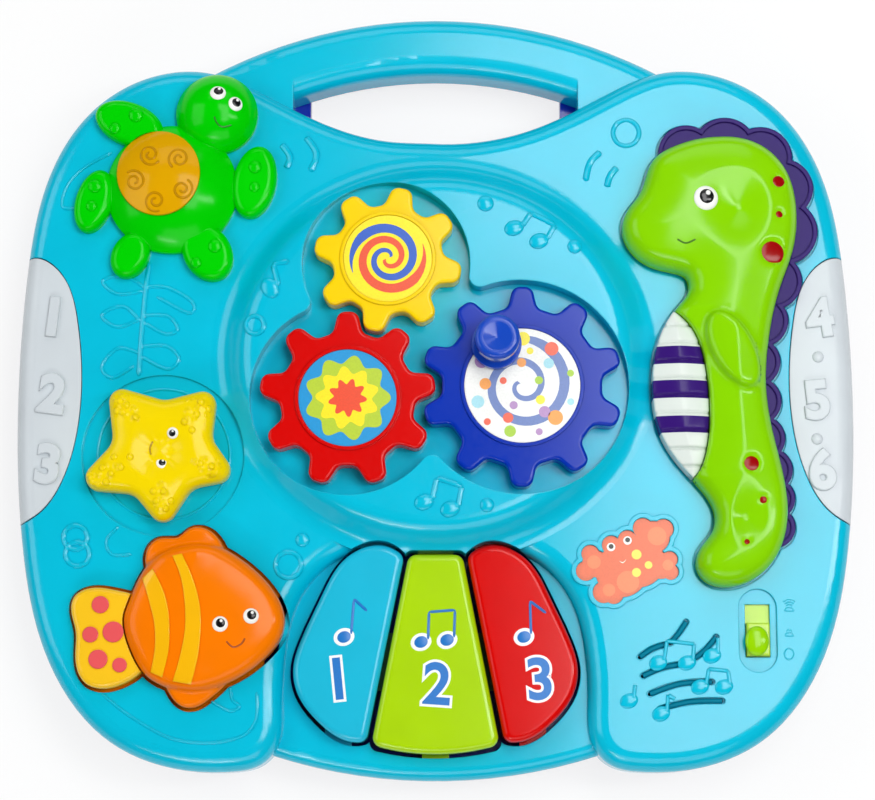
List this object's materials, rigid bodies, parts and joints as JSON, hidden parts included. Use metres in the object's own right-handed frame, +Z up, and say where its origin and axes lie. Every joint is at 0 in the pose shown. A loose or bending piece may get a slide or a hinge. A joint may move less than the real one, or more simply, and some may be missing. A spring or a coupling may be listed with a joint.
{
  "type": "activity table",
  "caption": "Child's activity table top with a carry handle: meshing gears with a crank knob, piano keys, a fish button, a spinning star, sea animals and a volume switch.",
  "frame": {"origin": "under the middle of the housing, on the plane that the socket rims stand on", "axes": "+Z up, +X to the right, +Y towards the carry handle"},
  "size_m": [0.3796, 0.3528, 0.0752],
  "materials": {
    "top_shell": "moulded turquoise ABS",
    "bottom_shell": "moulded royal blue ABS",
    "side_panel_left": "moulded white ABS",
    "side_panel_right": "moulded white ABS",
    "spinner_bushes": "natural acetal",
    "turtle_body": "moulded green ABS",
    "turtle_dome": "amber lens, faintly clear",
    "turtle_lamp": "clear lamp body",
    "seahorse_body": "moulded lime ABS",
    "seahorse_belly": "moulded white ABS",
    "seahorse_crest": "moulded purple ABS",
    "seahorse_spots": "moulded dark red ABS",
    "crab_label": "printed film",
    "key_hinge_rod": "drawn steel rod",
    "key_dome_left": "silicone rubber",
    "key_dome_middle": "silicone rubber",
    "key_dome_right": "silicone rubber",
    "fish_dome": "silicone rubber",
    "key_board": "circuit board laminate",
    "fish_board": "circuit board laminate",
    "main_board": "circuit board laminate",
    "slide_switch": "pressed steel switch case",
    "speaker_basket": "pressed steel basket",
    "speaker_cone": "pulp cone",
    "speaker_magnet": "ferrite magnet",
    "batteries": "printed steel can",
    "battery_contacts": "plated spring steel",
    "battery_door": "moulded royal blue ABS",
    "battery_door_screw": "zinc plated screw",
    "case_screws": "zinc plated screws",
    "figure_screws": "zinc plated screws",
    "blue_gear": "moulded blue ABS",
    "blue_gear_label": "printed film",
    "crank_pin": "drawn steel pin",
    "blue_gear_washer": "natural acetal",
    "blue_gear_screw": "zinc plated screw",
    "crank_knob": "moulded blue ABS",
    "red_gear": "moulded red ABS",
    "red_gear_label": "printed film",
    "red_gear_washer": "natural acetal",
    "red_gear_screw": "zinc plated screw",
    "yellow_gear": "moulded yellow ABS",
    "yellow_gear_label": "printed film",
    "yellow_gear_washer": "natural acetal",
    "yellow_gear_screw": "zinc plated screw",
    "star": "moulded yellow ABS",
    "star_washer": "natural acetal",
    "star_screw": "zinc plated screw",
    "key_left": "moulded sky blue ABS",
    "key_middle": "moulded lime ABS",
    "key_right": "moulded red ABS",
    "fish_body": "moulded orange ABS",
    "fish_tail": "moulded yellow ABS",
    "fish_tail_spots": "printed red",
    "fish_stripes": "moulded amber ABS",
    "volume_thumb": "moulded lime ABS"
  },
  "bodies": {
    "housing": {"top_shell": "top_shell", "bottom_shell": "bottom_shell", "side_panel_left": "side_panel_left", "side_panel_right": "side_panel_right", "spinner_bushes": "spinner_bushes", "turtle_body": "turtle_body", "turtle_dome": "turtle_dome", "turtle_lamp": "turtle_lamp", "seahorse_body": "seahorse_body", "seahorse_belly": "seahorse_belly", "seahorse_crest": "seahorse_crest", "seahorse_spots": "seahorse_spots", "crab_label": "crab_label", "key_hinge_rod": "key_hinge_rod", "key_dome_left": "key_dome_left", "key_dome_middle": "key_dome_middle", "key_dome_right": "key_dome_right", "fish_dome": "fish_dome", "key_board": "key_board", "fish_board": "fish_board", "main_board": "main_board", "slide_switch": "slide_switch", "speaker_basket": "speaker_basket", "speaker_cone": "speaker_cone", "speaker_magnet": "speaker_magnet", "batteries": "batteries", "battery_contacts": "battery_contacts", "battery_door": "battery_door", "battery_door_screw": "battery_door_screw", "case_screws": "case_screws", "figure_screws": "figure_screws"},
    "blue_gear": {"blue_gear": "blue_gear", "blue_gear_label": "blue_gear_label", "crank_pin": "crank_pin", "blue_gear_washer": "blue_gear_washer", "blue_gear_screw": "blue_gear_screw"},
    "crank_knob": {"crank_knob": "crank_knob"},
    "red_gear": {"red_gear": "red_gear", "red_gear_label": "red_gear_label", "red_gear_washer": "red_gear_washer", "red_gear_screw": "red_gear_screw"},
    "yellow_gear": {"yellow_gear": "yellow_gear", "yellow_gear_label": "yellow_gear_label", "yellow_gear_washer": "yellow_gear_washer", "yellow_gear_screw": "yellow_gear_screw"},
    "star": {"star": "star", "star_washer": "star_washer", "star_screw": "star_screw"},
    "key_left": {"key_left": "key_left"},
    "key_middle": {"key_middle": "key_middle"},
    "key_right": {"key_right": "key_right"},
    "fish": {"fish_body": "fish_body", "fish_tail": "fish_tail", "fish_tail_spots": "fish_tail_spots", "fish_stripes": "fish_stripes"},
    "volume_thumb": {"volume_thumb": "volume_thumb"}
  },
  "joints": [
    {"name": "blue_gear_spin", "type": "hinge", "parent": "housing", "child": "blue_gear", "pos_m": [0.03874, -0.00247, 0.043], "axis": [0, 0, 1], "continuous": true},
    {"name": "red_gear_spin", "type": "hinge", "parent": "housing", "child": "red_gear", "pos_m": [-0.03924, -0.00809, 0.043], "axis": [0, 0, 1], "continuous": true},
    {"name": "yellow_gear_spin", "type": "hinge", "parent": "housing", "child": "yellow_gear", "pos_m": [-0.02149, 0.05573, 0.043], "axis": [0, 0, 1], "continuous": true},
    {"name": "crank_knob_spin", "type": "hinge", "parent": "blue_gear", "child": "crank_knob", "pos_m": [0.02717, 0.01569, 0.0536], "axis": [0, 0, 1], "continuous": true},
    {"name": "star_spin", "type": "hinge", "parent": "housing", "child": "star", "pos_m": [-0.12255, -0.03176, 0.039], "axis": [0, 0, 1], "continuous": true},
    {"name": "key_left_press", "type": "hinge", "parent": "housing", "child": "key_left", "pos_m": [0, -0.06492, 0.022], "axis": [1, 0, 0], "range_deg": [0, 2.3], "stiffness_Nm_per_rad": 4, "springref_deg": -1.72, "deforming": ["key_dome_left"]},
    {"name": "key_middle_press", "type": "hinge", "parent": "housing", "child": "key_middle", "pos_m": [0, -0.06492, 0.022], "axis": [1, 0, 0], "range_deg": [0, 2.3], "stiffness_Nm_per_rad": 4, "springref_deg": -1.72, "deforming": ["key_dome_middle"]},
    {"name": "key_right_press", "type": "hinge", "parent": "housing", "child": "key_right", "pos_m": [0, -0.06492, 0.022], "axis": [1, 0, 0], "range_deg": [0, 2.3], "stiffness_Nm_per_rad": 4, "springref_deg": -1.72, "deforming": ["key_dome_right"]},
    {"name": "fish_press", "type": "slide", "parent": "housing", "child": "fish", "axis": [0, 0, -1], "range_m": [0, 0.003], "stiffness_N_per_m": 900, "springref_m": -0.003, "deforming": ["fish_dome"]},
    {"name": "volume_slide", "type": "slide", "parent": "housing", "child": "volume_thumb", "axis": [0, 1, 0], "range_m": [0, 0.008]}
  ],
  "couplings": [
    {"joint": "red_gear_spin", "follows": "blue_gear_spin", "ratio": -1.1111},
    {"joint": "yellow_gear_spin", "follows": "blue_gear_spin", "ratio": 1.25}
  ]
}
